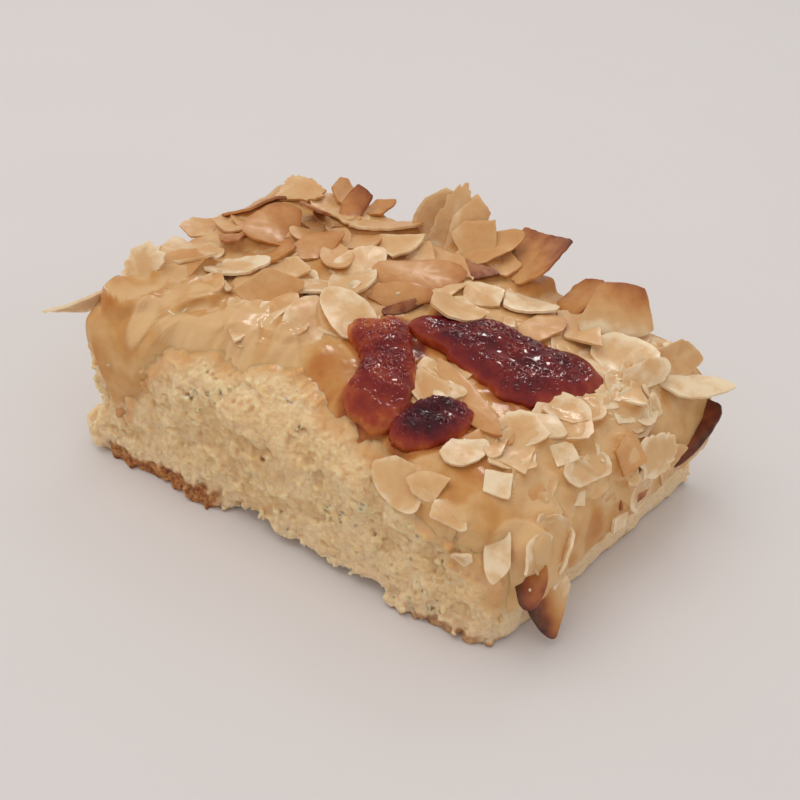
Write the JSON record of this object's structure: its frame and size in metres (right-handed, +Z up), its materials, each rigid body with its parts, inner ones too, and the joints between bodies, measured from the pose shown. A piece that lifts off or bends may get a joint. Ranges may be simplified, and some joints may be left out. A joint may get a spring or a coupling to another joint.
{
  "type": "butter cake slice",
  "caption": "Cut rectangular slice of butter cake: pale crumb under a baked glazed topping of flaked almonds, with patches of dark boiled caramel.",
  "frame": {"origin": "middle of the bounding box, at the flat base the slice rests on", "axes": "+X along the long cut side, towards the baked, sloping side; +Y into the slice from the cut side in front; +Z up"},
  "size_m": [0.1349, 0.0824, 0.0515],
  "materials": {
    "crumb": "open, matte, pale yellow cake crumb, browned at the base",
    "almond_topping": "flaked almonds from cream to toasted brown in a clear sticky glaze",
    "caramel": "glossy dark red-brown boiled caramel with small bubbles"
  },
  "bodies": {
    "root": {"crumb": "crumb", "almond_topping": "almond_topping", "caramel_left": "caramel", "caramel_right": "caramel", "caramel_flake": "caramel"}
  },
  "joints": []
}
